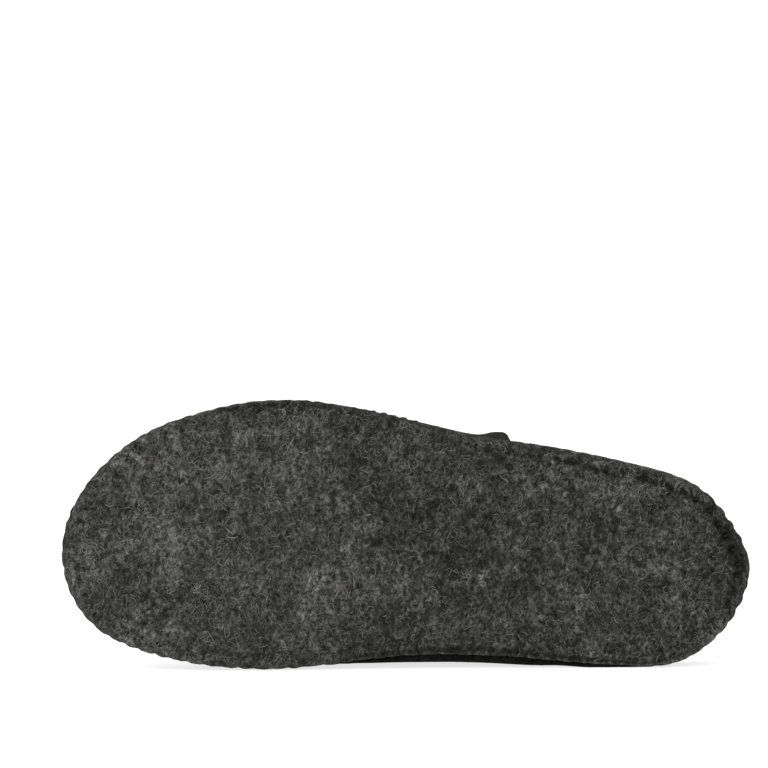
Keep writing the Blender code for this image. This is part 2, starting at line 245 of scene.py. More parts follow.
def lumps(points, size, seed=0):
    """Smooth noise from -1 to 1 whose lumps have that size."""
    q = np.asarray(points, float) / size + 31.7 * (seed + 1)
    cell = np.floor(q).astype(np.int64)
    part = smooth_step(q - cell)
    total = np.zeros(q.shape[:-1])
    for corner in np.ndindex(2, 2, 2):
        c = cell + np.array(corner)
        mixed = c[..., 0] * 73856093 ^ c[..., 1] * 19349663 ^ c[..., 2] * 83492791
        mixed = (mixed ^ (seed * 40503)) & 0xFFFFFFFF
        for _ in range(2):
            mixed = ((mixed ^ (mixed >> 16)) * 73244475) & 0xFFFFFFFF
        mixed = mixed ^ (mixed >> 16)
        weight = np.prod(np.where(np.array(corner) == 1, part, 1 - part), axis=-1)
        total += weight * (mixed / 2147483647.5 - 1.0)
    return total


def lumps_along(s, size, seed):
    """Smooth noise from -1 to 1 along the rim."""
    return lumps(np.stack([s, 0 * s, 0 * s], axis=-1), size, seed)


def uneven(points, *layers):
    """Lumps of several sizes together, each layer with its height, size and seed."""
    return sum(height * lumps(points, size, seed) for height, size, seed in layers)


def along_rim(table, s):
    """The columns of a table at places along the rim. Its rows go by the share of the way round."""
    share = np.mod(s, RIM_LINE.length) / RIM_LINE.length
    return [read_table(table, share, k) for k in range(1, len(table[0]))]


# The lie of the slipper, read off the solid sole, whose own sizes are known
LEAN = math.radians(90 + LEAN_DEG)
TURN = np.array(
    Matrix.Rotation(math.pi, 3, "Z") @ Matrix.Rotation(LEAN, 3, "X"), float
)


def find_place():
    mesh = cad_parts["outsole"].data
    points = np.empty(len(mesh.vertices) * 3)
    mesh.vertices.foreach_get("co", points)
    own = points.reshape(-1, 3) * 1000 @ TURN
    shift = np.array([RIM_LINE.low, RIM_LINE.inner_y, 0.0]) - own.min(axis=0)
    return -(TURN @ shift)


PLACE = find_place()


def to_row(points):
    """Millimetres in the slipper's frame to metres in the row frame."""
    return (np.asarray(points) @ TURN.T + PLACE) / 1000


# Meshes


def ride(obj):
    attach(obj, "root")
    return obj


def add_object(name, data):
    obj = bpy.data.objects.new(name, data)
    bpy.context.scene.collection.objects.link(obj)
    return obj


def mesh_from(name, points, quads, material, **layers):
    """A smooth mesh from points in the slipper's frame and quads. A layer has a value a point."""
    points = to_row(points.reshape(-1, 3)).astype(np.float32)
    mesh = bpy.data.meshes.new(name)
    mesh.vertices.add(len(points))
    mesh.vertices.foreach_set("co", points.ravel())
    mesh.loops.add(quads.size)
    mesh.loops.foreach_set("vertex_index", quads.astype(np.int32).ravel())
    mesh.polygons.add(len(quads))
    mesh.polygons.foreach_set("loop_start", np.arange(0, quads.size, 4, dtype=np.int32))
    mesh.update(calc_edges=True)
    mesh.shade_smooth()
    for key, values in layers.items():
        layer = mesh.attributes.new(key, "FLOAT", "POINT")
        layer.data.foreach_set("value", values.astype(np.float32).ravel())
    mesh.materials.append(material)
    return add_object(name, mesh)


def numbers(grid):
    """The vertex number of each point of a grid, row by row."""
    return np.arange(grid[..., 0].size).reshape(grid.shape[:-1])


def quads_of(number, wrap=False):
    """The quads between the neighbours in a grid of vertex numbers, or in several grids."""
    if wrap:
        number = np.concatenate([number, number[..., :1]], axis=-1)
    a, b = number[..., :-1, :-1], number[..., :-1, 1:]
    c, d = number[..., 1:, 1:], number[..., 1:, :-1]
    return np.stack([a, b, c, d], axis=-1).reshape(-1, 4)


def grid_normals(points, wrap=False):
    """Unit normals of a grid of points, from its two directions."""
    if wrap:
        across = np.roll(points, -1, axis=1) - np.roll(points, 1, axis=1)
    else:
        across = np.gradient(points, axis=1)
    return unit(np.cross(across, np.gradient(points, axis=0)))


# Round cut edge of a felt: share of the thickness and how far it bulges, in millimetres
CUT_EDGE = ((0.08, 0.22), (0.28, 0.42), (0.5, 0.48), (0.72, 0.42), (0.92, 0.22))


def felt_shell(name, number, points, out, tone, borders):
    """The upper's felt under a grid of points, with round edges on some borders."""
    inner = points - out * UPPER_FELT
    flat = [points.reshape(-1, 3), inner.reshape(-1, 3)]
    tones = [tone.ravel(), tone.ravel()]
    quads = [quads_of(number), quads_of(number + number.size)[:, ::-1]]
    total = 2 * number.size
    for border in borders:
        end, kind = border.split()
        grids = [points, inner, number, tone]
        if kind == "column":
            grids = [grid.swapaxes(0, 1) for grid in grids]
        at, beside = (0, 1) if end == "first" else (-1, -2)
        top, foot, line, edge_tone = (grid[at] for grid in grids)
        away = unit(top - grids[0][beside])
        ring = [line]
        for share, bulge in CUT_EDGE:
            flat.append(mix(top, foot, share) + away * bulge)
            tones.append(edge_tone)
            ring.append(np.arange(total, total + len(line)))
            total += len(line)
        ring.append(line + number.size)
        strip = quads_of(np.array(ring))
        quads.append(strip if border in ("last row", "first column") else strip[:, ::-1])
    points, tones = np.concatenate(flat), np.concatenate(tones)
    return mesh_from(name, points, np.concatenate(quads), VAMP_LOOK, tone=tones)


# Stitches round the rim: place along the rim and inset of each hole
STITCHES = round(RIM_LINE.length / STITCH_PITCH)
PITCH = RIM_LINE.length / STITCHES
random = np.random.default_rng(11)
STITCH_S = (np.arange(STITCHES) + 0.5) * PITCH + random.uniform(-0.75, 0.75, STITCHES)
STITCH_IN = STITCH_INSET + random.uniform(-0.5, 0.6, STITCHES)
STITCH_PULL = random.uniform(0.3, 1.25, STITCHES)
LOBE_SIZE = random.uniform(0.45, 1.2, STITCHES)
# At the back of the heel every lobe is a full one
HEEL_LOBES = 5
LOBE_SIZE[:HEEL_LOBES] = LOBE_SIZE[-HEEL_LOBES:] = 1.15
# The height in a lobe that lies on the rim itself
LOBE_LEVEL = 0.72


def seam_field(s, inset):
    """(hole, groove, puff): how near a stitch hole, its groove and the middle of a lobe are."""
    s = np.mod(s, RIM_LINE.length)
    k = np.searchsorted(STITCH_S, s) % STITCHES
    before = (k - 1) % STITCHES
    ahead = np.mod(STITCH_S[k] - s, RIM_LINE.length)
    behind = np.mod(s - STITCH_S[before], RIM_LINE.length)
    near = np.where(ahead < behind, k, before)
    gap = np.minimum(ahead, behind)
    pull, deeper = STITCH_PULL[near], inset - STITCH_IN[near]
    hole = pull * bell(gap / 1.15) * bell(deeper / 1.1)
    groove = pull * bell(gap / 0.85) * fade(deeper / 1.4)
    way = np.clip(behind / np.maximum(ahead + behind, 1e-6), 0, 1)
    return hole, groove, mix(LOBE_LEVEL, np.sin(np.pi * way) ** 0.8, LOBE_SIZE[k])


# The edge of the felt, by the share of the way round as in SEAM_SHOW
RIM_EDGE = (
    # share, how far tight little gathers stand out, how far the edge rolls out
    (0.0, 0.0, -0.5), (0.05, 0.0, 0.0), (0.2, 0.0, 0.0), (0.23, 0.35, 0.0), (0.25, 0.85, 0.0),
    (0.272, 0.85, 0.0), (0.285, 0.2, 0.1), (0.3, 0.0, 0.7), (0.32, 0.0, 1.1), (0.345, 0.1, 1.0),
    (0.365, 0.1, 0.4), (0.378, 0.1, 0.0), (0.4, 0.25, 0.0), (0.45, 0.12, 0.0),
    (0.54, 0.12, 0.0), (0.6, 0.2, 0.0), (0.66, 0.1, 0.0), (0.7, 0.0, 0.0), (0.95, 0.0, 0.0),
    (1.0, 0.0, -0.5),
)
RUFFLE_PITCH = 4.1


def lobe_height(s, puff, groove):
    """How far a lobe stands out from the rim, or a stitch draws it in."""
    lobes = along_rim(SEAM_SHOW, s)[0]
    gathered, roll = along_rim(RIM_EDGE, s)
    wave = np.abs(np.sin(math.pi * s / RUFFLE_PITCH + 0.5 * lumps_along(s, 15.0, 25))) - 0.6
    drawn_in = (0.1 + 0.2 * lobes) * groove
    return 1.1 * lobes * (puff - LOBE_LEVEL) - drawn_in + (gathered * wave + roll)


# Materials


class Nodes:
    """Short hands for building one material's node tree."""

    def __init__(self, name):
        self.material = bpy.data.materials.new(name)
        self.material.use_nodes = True
        self.tree = self.material.node_tree
        self.place = self.new("ShaderNodeTexCoord").outputs["Object"]

    def fill(self, node, inputs):
        """Puts a value or a link on each of these inputs."""
        for key, value in inputs.items():
            if hasattr(value, "is_output"):
                self.tree.links.new(value, node.inputs[key])
            else:
                node.inputs[key].default_value = value

    def new(self, kind, inputs=(), **settings):
        node = self.tree.nodes.new(kind)
        for key, value in settings.items():
            setattr(node, key, value)
        self.fill(node, dict(inputs))
        return node

    def finish(self, looks):
        """The material, once its own shader has these looks."""
        self.fill(self.tree.nodes["Principled BSDF"], looks)
        return self.material

    def noise(self, turn, size, detail=2.0, rough=0.5, warp=0.0, stretch=(1, 1, 1)):
        """Noise of that size in millimetres, turned by degrees about the three axes."""
        mapping = {
            "Vector": self.place,
            "Rotation": [math.radians(degrees) for degrees in turn],
            "Scale": [0.001 * length for length in stretch],
        }
        place = self.new("ShaderNodeMapping", mapping, vector_type="TEXTURE")
        inputs = {"Vector": place.outputs["Vector"], "Scale": 1.0 / size, "Detail": detail}
        inputs.update({"Roughness": rough, "Distortion": warp})
        return self.new("ShaderNodeTexNoise", inputs).outputs["Fac"]

    def ramp(self, value, low, high, out_low=0.0, out_high=1.0):
        inputs = {"Value": value, "From Min": low, "From Max": high}
        inputs.update({"To Min": out_low, "To Max": out_high})
        node = self.new("ShaderNodeMapRange", inputs, interpolation_type="SMOOTHSTEP")
        return node.outputs["Result"]

    def math(self, kind, *values):
        return self.new("ShaderNodeMath", dict(enumerate(values)), operation=kind).outputs[0]

    def scaled(self, value, share, amount):
        """The value, with that amount of itself added where the share is 1."""
        return self.math("MULTIPLY", value, self.math("MULTIPLY_ADD", share, amount, 1.0))

    def blend(self, share, first, second):
        inputs = {0: share, 6: first, 7: second}
        return self.new("ShaderNodeMix", inputs, data_type="RGBA").outputs[2]

    def attribute(self, name):
        return self.new("ShaderNodeAttribute", attribute_name=name).outputs["Fac"]

    def bump(self, height, strength, distance):
        inputs = {"Height": height, "Strength": strength, "Distance": distance}
        return self.new("ShaderNodeBump", inputs).outputs["Normal"]

    def thread(self, turn, size, width):
        """Thin winding lines, 1 on the line and 0 beside it: where a noise crosses its middle."""
        away = self.math("SUBTRACT", self.noise(turn, size, 1.0, 0.5, 1.2), 0.5)
        return self.ramp(self.math("ABSOLUTE", away), 0.0, width, 1.0, 0.0)

    def threads(self, first, second, spots, low, high):
        """Two sets of winding lines, kept only where the noise of the spots is high."""
        lines = self.math("MAXIMUM", self.thread(*first), self.thread(*second))
        return self.math("MULTIPLY", lines, self.ramp(self.noise(*spots), low, high))


def colour(value):
    """A grey of that brightness, as warm as the felt."""
    return (value, value * 0.997, value * 0.945, 1.0)


# Mottling of the felt: size of the lumps in millimetres, how strong, stretch along the nap
MOTTLE = (
    (22.0, 1.9, 1.0), (9.0, 1.8, 1.1),
    (4.2, 2.4, 1.35), (2.0, 3.0, 1.6),
    (1.15, 2.9, 1.8), (0.5, 0.9, 1.5),
)
# Small pits of two sizes: size, the noise where they start and where they are full, how dark
PITS = ((0.9, 0.57, 0.67, -0.62), (1.7, 0.62, 0.72, -0.55))


def felt(name, middle, fibre, contrast=1.0, shine=0.12):
    """Boiled wool felt: cloudy mottling at many sizes, with winding pale and dark fibres."""
    n = Nodes(name)
    value = middle
    for k, (size, strength, stretch) in enumerate(MOTTLE):
        wave = n.noise((7 * k, 0, 0), size, 1.0, 0.5, 0.6, (1, 1, stretch))
        strength *= contrast
        share = n.math("MULTIPLY_ADD", wave, strength, 1 - 0.5 * strength)
        value = n.math("MULTIPLY", share, value)
    value = n.math("MAXIMUM", value, middle * 0.12)
    strands = n.threads(
        ((15, 35, 75), 2.6, 0.034), ((65, 80, 20), 1.7, 0.036),
        ((40, 0, 9), 3.2, 2.0, 0.6), 0.47, 0.62,
    )
    value = n.math("MULTIPLY_ADD", strands, fibre, value)
    gaps = n.threads(
        ((40, 5, 130), 1.7, 0.05), ((5, 62, 31), 1.1, 0.06),
        ((12, 70, 3), 2.4, 1.0, 0.5), 0.42, 0.56,
    )
    value = n.scaled(value, gaps, -0.5)
    for size, low, high, depth in PITS:
        pits = n.ramp(n.noise((33, 12, 50), size, 0.0, stretch=(1, 1, 1.4)), low, high)
        value = n.scaled(value, pits, depth)
    # The tone darkens the colour: darker wool, and painted shade in stitch holes, grooves, creases
    # and low on the inner side
    value = n.scaled(value, n.attribute("tone"), -0.86)
    value = n.scaled(value, n.attribute("pale"), 1.6)
    fine = n.noise((70, 10, 40), 0.7, 2.0, 0.6, 0.5)
    coarse = n.noise((20, 50, 10), 2.6, 2.0, 0.5, 0.4)
    relief = n.math("MULTIPLY_ADD", strands, 0.5, fine)
    relief = n.math("MULTIPLY_ADD", coarse, 0.9, relief)
    relief = n.math("MULTIPLY_ADD", gaps, -0.5, relief)
    looks = {
        "Base Color": n.blend(value, colour(0.0), colour(1.0)),
        "Normal": n.bump(relief, 0.7, 0.0006),
        "Roughness": n.ramp(fine, 0.3, 0.7, 0.95, 0.83),
        "Specular IOR Level": shine,
        "Sheen Weight": 0.5 * shine,
        "Sheen Roughness": 0.6,
        "Sheen Tint": colour(0.3),
    }
    return n.finish(looks)


def strand(name, dark, light):
    """Loose wool fibres, each with its own tone."""
    n = Nodes(name)
    patchy = n.ramp(n.noise((10, 30, 60), 0.8, 1.0), 0.2, 0.8, 0.7, 1.15)
    tone = n.math("MULTIPLY", n.attribute("tone"), patchy)
    body = n.blend(tone, colour(dark), colour(light))
    return n.finish({"Base Color": body, "Roughness": 0.8, "Specular IOR Level": 0.15})


def yarn(name, dark, light):
    """Twisted wool yarn: fine diagonal plies and fuzz."""
    n = Nodes(name)
    plies = n.noise((30, 60, 20), 0.35, 2.0, 0.6, 1.5)
    looks = {
        "Base Color": n.blend(n.ramp(plies, 0.35, 0.7), colour(dark), colour(light)),
        "Normal": n.bump(plies, 0.8, 0.0003),
        "Roughness": 0.9,
        "Specular IOR Level": 0.1,
    }
    return n.finish(looks)


SOLE_LOOK = felt("sole_felt", 0.033, 0.05)
VAMP_LOOK = felt("vamp_felt", 0.0145, 0.022, 0.85, shine=0.07)
BED_LOOK = felt("footbed_felt", 0.085, 0.08, 0.8)
SOLE_STRANDS = strand("sole_fibres", 0.018, 0.185)
DARK_STRANDS = strand("vamp_fibres", 0.008, 0.075)
BED_STRANDS = strand("footbed_fibres", 0.05, 0.3)
YARN_LOOK = yarn("seam_yarn", 0.007, 0.02)


# The sole

SOLE_STATIONS = 900
SOLE_INNER_ROWS = 44
# The spine that the rows of the sole and the footbed close on: x at its two ends
SPINE = (42.0, 228.0)
# How much paler the tread is at the toe than at the heel
TOE_PALE = 0.17


def spine_of(plan):
    """The point of the middle line that a point of a ring runs to."""
    x = np.clip(plan[..., 0], *SPINE)
    sides = (RIM_LINE.at(RIM_LINE.s_at(side, x))[0] for side in ("outer", "inner"))
    return np.stack([x, sum(side[..., 1] for side in sides) / 2], axis=-1)


def solid(plan, height):
    height = np.broadcast_to(height, plan.shape[:-1])
    return np.concatenate([plan, (height + tread_height(plan[..., 0]))[..., None]], axis=-1)


def sunk_edge(points, s, inset):
    """Where the felt is drawn in round the back of the heel and lies in the dark."""
    sunk = along_rim(SEAM_SHOW, s)[2]
    ragged = uneven(points, (1.6, 3.4, 17), (0.8, 1.6, 18))
    behind = mix(0.35, 1.0, smooth_step((inset - 1.0 + 0.5 * ragged) / 1.8))
    return sunk * behind * fade((inset + ragged - 3.0 - 3.6 * sunk) / 1.6)


# Dark line just inside the edge: share of the way round, how dark, inset, half width, beads
EDGE_LINE = (
    (0.0, 0.0, 1.3, 0.5, 0.0), (0.11, 0.0, 1.3, 0.4, 0.0), (0.128, 0.55, 1.4, 0.4, 0.0),
    (0.155, 0.55, 1.3, 0.4, 0.0), (0.17, 0.0, 1.3, 0.4, 0.0), (0.285, 0.0, 1.5, 0.5, 0.0),
    (0.302, 0.85, 1.5, 0.5, 0.0), (0.33, 0.95, 1.5, 0.55, 0.0), (0.362, 0.85, 1.1, 0.5, 0.0),
    (0.378, 0.0, 1.0, 0.5, 0.0), (0.69, 0.0, 1.2, 0.6, 0.0), (0.715, 0.6, 1.2, 0.7, 0.3),
    (0.755, 0.8, 1.5, 1.4, 0.5), (0.8, 0.85, 1.6, 1.8, 0.6), (0.84, 0.9, 1.6, 1.5, 0.6),
    (0.88, 0.9, 1.5, 0.8, 0.5), (0.93, 0.5, 1.6, 0.5, 0.2), (0.95, 0.0, 1.6, 0.5, 0.0),
    (1.0, 0.0, 1.5, 0.5, 0.0),
)
BEAD_PITCH = 3.5


def edge_line(s, inset):
    """The dark line just inside the edge, with the paler beads in and beyond it: (dark, pale)."""
    near, middle, wide, beaded = along_rim(EDGE_LINE, s)
    wander = 0.3 * lumps_along(s, 9.0, 19)
    dark = np.exp(-(((inset - middle - wander) / wide) ** 4))
    beads = smooth_step(0.4 + 0.9 * np.sin(2 * math.pi * s / BEAD_PITCH + 5 * wander))
    row = 0.8 + 0.5 * lumps_along(s, 4.0, 26)
    pale = bell((inset - row - wander) / 0.5) * beads * beaded
    return np.clip(near * (dark - pale), 0, 1), 0.3 * near * pale


# Short creases in the tread, dented a little and darkened with painted shade: x and y of both ends,
# half width, how dark
SLITS = (
    (81.2, -32.4, 79.6, -35.4, 0.55, 0.8), (79.6, -35.4, 76.8, -38.6, 0.6, 0.9),
    (208.6, 52.0, 206.9, 49.6, 0.6, 0.6), (62.0, -36.0, 60.2, -38.2, 0.6, 0.5),
    (218.4, 44.8, 216.2, 45.4, 0.7, 0.5), (95.4, 36.2, 93.9, 35.2, 0.7, 0.6),
    (75.6, 38.2, 74.6, 37.8, 0.75, 0.95), (72.0, 37.6, 70.8, 36.9, 0.85, 0.95),
    (85.6, 39.4, 84.8, 38.9, 0.7, 0.8), (78.4, 36.2, 77.6, 34.8, 0.7, 0.85),
    (65.6, 34.6, 64.8, 33.0, 0.75, 0.85), (60.4, 33.8, 59.6, 32.4, 0.8, 0.95),
    (56.9, 32.7, 55.6, 31.8, 0.8, 0.95), (53.0, 31.8, 52.5, 30.6, 0.75, 0.95),
    (42.4, 30.8, 41.4, 29.4, 0.9, 0.9), (34.6, 27.9, 32.0, 26.8, 0.9, 0.85),
    (27.4, 25.4, 25.4, 24.4, 0.95, 0.95), (24.6, 23.9, 23.8, 22.6, 0.8, 0.9),
)


def slit_depth(points):
    """How near a point is to one of the short creases, 1 on its line."""
    total = np.zeros(points.shape[:-1])
    for x1, y1, x2, y2, wide, dark in SLITS:
        along = np.array([x2 - x1, y2 - y1])
        away = points[..., :2] - np.array([x1, y1])
        share = np.clip(away @ along / (along @ along), 0, 1)
        gap = np.linalg.norm(away - share[..., None] * along, axis=-1)
        total = np.maximum(total, dark * np.minimum(1.0, 1.7 * bell(gap / wide)))
    return total


# Soft patches of paler and darker wool on the tread: x, y, reach in millimetres, how pale
PATCHES = (
    (222.0, -2.0, 9.0, 0.2), (205.0, 26.0, 12.0, 0.12), (199.0, -8.0, 8.0, 0.16),
    (186.0, 20.0, 9.0, 0.16), (262.0, -4.0, 9.0, 0.12), (240.0, 30.0, 12.0, 0.1),
    (178.0, -17.0, 8.0, 0.12), (153.0, -11.0, 7.0, 0.16), (181.0, 38.0, 8.0, 0.14),
    (208.0, -30.0, 8.0, 0.1), (246.0, 20.0, 9.0, -0.14), (230.0, -22.0, 10.0, -0.1),
    (200.0, 12.0, 9.0, -0.08), (148.0, 28.0, 14.0, -0.1), (125.0, 2.0, 18.0, -0.12),
    (104.0, -14.0, 18.0, -0.16), (98.0, 18.0, 14.0, -0.1), (112.0, 24.0, 6.0, 0.14),
    (62.0, 29.0, 7.0, 0.22), (50.0, 20.0, 6.0, 0.14), (42.0, 4.0, 9.0, 0.1),
    (58.0, 10.0, 9.0, -0.1), (28.0, -8.0, 8.0, 0.08), (60.0, -20.0, 8.0, 0.06),
    (184.0, 53.0, 7.0, 0.3), (196.0, 51.0, 6.0, 0.16), (172.0, 54.0, 6.0, 0.16),
    (82.0, -6.0, 28.0, -0.1), (12.0, 0.0, 10.0, 0.1), (45.0, 12.0, 24.0, -0.05),
    (47.0, 30.0, 4.0, 0.35), (41.0, 25.0, 5.0, 0.25), (28.0, 28.0, 3.5, 0.35),
)


def patches(points):
    """(paler, darker) from the soft patches, ragged at their borders."""
    total = np.zeros(points.shape[:-1])
    ragged = 1 + 0.5 * lumps(points, 7.0, 23)
    for x, y, size, pale in PATCHES:
        away = np.hypot(points[..., 0] - x, points[..., 1] - y) / size
        total += pale * bell(away * ragged)
    return np.maximum(total, 0), np.maximum(-total, 0)


def make_sole():
    s = np.arange(SOLE_STATIONS) * RIM_LINE.length / SOLE_STATIONS
    lobed, holes, _, fuzz = along_rim(SEAM_SHOW, s)
    rows, tones, pales = [], [], []
    for inset, height in SOLE_SECTION:
        plan, out = RIM_LINE.at(s, inset)
        hole, groove, puff = seam_field(s, inset)
        below = smooth_step((SOLE_FELT - 0.6 - height) / 3.0)
        lobes = lobe_height(s, puff, groove) * fade((inset - 0.5) / 3.5)
        sunk = sunk_edge(solid(plan, height), s, inset) * below
        point = solid(plan + out * lobes[:, None], height)
        dark, pale = edge_line(s, inset)
        swell = 0.3 * (puff - 0.5) * lobed * bell((inset - 3) / 2)
        sink = 1.3 * hole * holes + 0.35 * groove * holes + 0.7 * sunk + 0.5 * dark
        point[:, 2] += below * (sink - swell)
        rows.append(point)
        # The stitch holes and their grooves get painted shade on top of their dents
        tone = 0.9 * holes * np.minimum(hole, 1) ** 0.7 + 0.15 * holes * groove
        tones.append(np.clip(below * np.maximum(tone, 0.95 * dark) + 0.74 * sunk, 0, 1))
        rim_fuzz = fuzz * bell((inset - 0.6) / 1.3)
        pales.append(np.clip(0.75 * rim_fuzz + 0.8 * pale, 0, 1) * (1 - sunk))
    ring = RIM_LINE.at(s, SOLE_SECTION[-1][0])[0]
    spine = spine_of(ring)
    for k in range(1, SOLE_INNER_ROWS + 1):
        rows.append(solid(mix(ring, spine, k / SOLE_INNER_ROWS), 0.0))
    points = np.array(rows)
    tones, pales = np.pad([tones, pales], ((0, 0), (0, SOLE_INNER_ROWS), (0, 0)))
    paler, darker = patches(points)
    toe = TOE_PALE * smooth_step((points[..., 0] - 110.0) / 110.0)
    slits = slit_depth(points)
    pales = np.clip(pales + paler + toe, 0, 1)
    # The creases are darkened with painted shade; the darker patches are the wool's own
    tones = np.clip(np.maximum(tones, slits) + darker, 0, 1)
    hairy = (1 - tones) ** 3 * (1 + 3 * pales)
    swell = uneven(points, (0.22, 11.0, 1), (0.16, 4.2, 2), (0.11, 1.9, 3)) - 0.5 * slits
    points += grid_normals(points, wrap=True) * swell[..., None]
    quads = quads_of(numbers(points), wrap=True)
    obj = mesh_from("sole", points, quads, SOLE_LOOK, tone=tones, pale=pales)
    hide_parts("outsole")
    ride(obj)
    return points, hairy


# The vamp

VAMP_ROWS = 200
VAMP_CREASES = (
    # how deep, how wide, then x at the inner foot, on the ridge and at the outer foot
    (0.95, 4.2, 204.0, 201.0, 190.0), (0.7, 3.6, 190.0, 187.0, 176.0),
    (0.5, 3.4, 171.0, 175.0, 166.0), (0.45, 5.0, 150.0, 146.0, 138.0),
)


def vamp_edge_x(turn):
    """Where the vamp ends: x of its free edge at a turn from the rim, 0, to the ridge, 1."""
    sweep = np.clip((turn - WING_CORNER_TURN) / (1 - WING_CORNER_TURN), 0, 1)
    low = mix(WING_FOOT_X, WING_CORNER_X, (turn / WING_CORNER_TURN) ** 2)
    high = mix(WING_CORNER_X, THROAT_X, 1 - (1 - sweep) ** 2)
    return np.where(turn <= WING_CORNER_TURN, low, high)


def belly(side, x, height):
    share = height**2 / (height**2 + SWELL_HEIGHT**2)
    return read_table(BELLY, x, 1 if side == "outer" else 2) * share


def shoulder(side, x):
    return 2 / read_table(BELLY, x, 3 if side == "outer" else 4)


def vamp_face(side, share, turn):
    """Points of the vamp's outer face for sections (rows) and turns (columns)."""
    foot_x = mix(vamp_edge_x(turn)[None, :], RIM_LINE.high - RIM, share[:, None])
    turn = np.broadcast_to(turn[None, :], foot_x.shape)
    rim_x = foot_x + RIM * smooth_step((foot_x - TOE_LAG_START) / 90.0)
    rim_s = RIM_LINE.s_at(side, np.minimum(rim_x, RIM_LINE.high))
    foot, out = RIM_LINE.at(rim_s, RIM)
    lag = (foot_x - TOE_LAG_START) / (RIM_LINE.high - RIM - TOE_LAG_START)
    top_x = foot_x - TOE_LAG * np.maximum(0.0, lag) ** 2
    top = np.stack([top_x, read_table(VAMP_RIDGE, top_x, 1)], axis=-1)
    angle, power = turn * math.pi / 2, shoulder(side, foot_x)
    inward = 1 - np.maximum(np.cos(angle), 0.0) ** power
    climb = np.sin(angle) ** power
    rise = read_table(VAMP_RIDGE, top_x, 2) - tread_height(top_x) - WALL_FOOT
    swell = belly(side, foot_x, climb * rise) * (1 - inward)
    behind = np.maximum(0.0, foot_x - vamp_edge_x(turn))
    lift = smooth_step((turn / WING_CORNER_TURN - 0.42) / 0.58) * fade((turn - 0.2) / 0.5)
    splay = (OUTER_WING_SPLAY if side == "outer" else 0.0) * np.exp(-behind / SPLAY_REACH)
    plan = mix(foot, top, inward[..., None]) + out * (swell + splay * lift)[..., None]
    ridge = read_table(VAMP_RIDGE, plan[..., 0], 2) - tread_height(plan[..., 0])
    height = mix(WALL_FOOT, ridge, climb)
    return solid(plan, height), rim_s, height


def flange_reach(s):
    """How far the flange reaches past the sole, by the place along the rim."""
    x = RIM_LINE.at(s)[0][..., 0]
    tip = RIM_LINE.outer[1][-1]
    return np.where(np.mod(s, RIM_LINE.length) > tip, read_table(FLANGE_REACH, x, 1), NO_REACH)


# Elsewhere the flange ends a little inside the sole's edge
NO_REACH = -0.4
# Points across the flange, as shares of the way from its edge to the wall's foot
FLANGE_SHARES = (0.0, 0.07, 0.18, 0.32, 0.5, 0.7, 0.87, 1.0)


def flange(s):
    """The turned-out edge of the upper, from its edge to the wall's foot, with its stitches."""
    reach = flange_reach(s)[:, None]
    inset = mix(-0.15 - reach, RIM - 0.9, np.array(FLANGE_SHARES))
    s = np.broadcast_to(s[:, None], inset.shape)
    hole, groove, puff = seam_field(s, inset)
    edge = fade((inset - 0.3) / 3.0)
    calm = fade((reach - NO_REACH) / 1.5)
    lobes = (lobe_height(s, puff, groove) * calm - 0.1) * edge
    plan, out = RIM_LINE.at(s, inset)
    point = solid(plan + out * lobes[..., None], FLANGE_TOP - 0.1 * edge)
    point[..., 2] -= 0.8 * hole + 0.5 * groove
    # The tone returned is painted shade in the stitch holes and grooves
    return point, np.clip(0.8 * hole + 0.35 * groove, 0, 1)


def painted_inner_shade(points):
    """Painted shade low on the inner side, on which the slipper lies."""
    x, y, z = points[..., 0], points[..., 1], points[..., 2]
    side = smooth_step((-24.0 - y) / 12.0) * fade((z - 20.0) / 16.0)
    return 0.8 * side * fade((x - 185.0) / 30.0)


def gathers(s, height):
    """Small ridges that rise from the stitches up the wall, and fade out above the seam."""
    _, groove, puff = seam_field(s, STITCH_INSET)
    return (0.55 * (puff - 0.5) - 0.5 * groove) * bell(height / 6.5)


def half_vamp(side, share, turns):
    """Flange and wall of one side, columns from the rim's edge to the ridge."""
    flange_x = mix(WING_FOOT_X, RIM_LINE.high, share)
    low, low_tone = flange(RIM_LINE.s_at(side, flange_x))
    wall, s, height = vamp_face(side, share, turns)
    pull = gathers(s, height - WALL_FOOT)
    wall[..., :2] += RIM_LINE.at(s)[1] * pull[..., None]
    # Painted shade in the grooves where the gathers draw the wall in
    tone = 0.25 * np.clip(-pull, 0, 1)
    return np.concatenate([low, wall], axis=1), np.concatenate([low_tone, tone], axis=1)


def crease_depth(points, turn, side):
    """How far the vamp's soft creases pull a point in."""
    depth = np.zeros(points.shape[:-1])
    q = (1 - turn) * (1 if side == "outer" else -1)
    strength = smooth_step((turn - 0.22) / 0.3) * (1 + 0.4 * lumps(points, 16.0, 8))
    for deep, wide, inner_x, ridge_x, outer_x in VAMP_CREASES:
        bow = (outer_x + inner_x) / 2 - ridge_x
        line = ridge_x + (outer_x - inner_x) / 2 * q + bow * q**2
        away = (points[..., 0] - line + 2.5 * lumps(points, 22.0, 9)) / wide
        depth += deep * (bell(away) - 0.45 * bell(np.abs(away) - 1.9)) * strength
    return depth


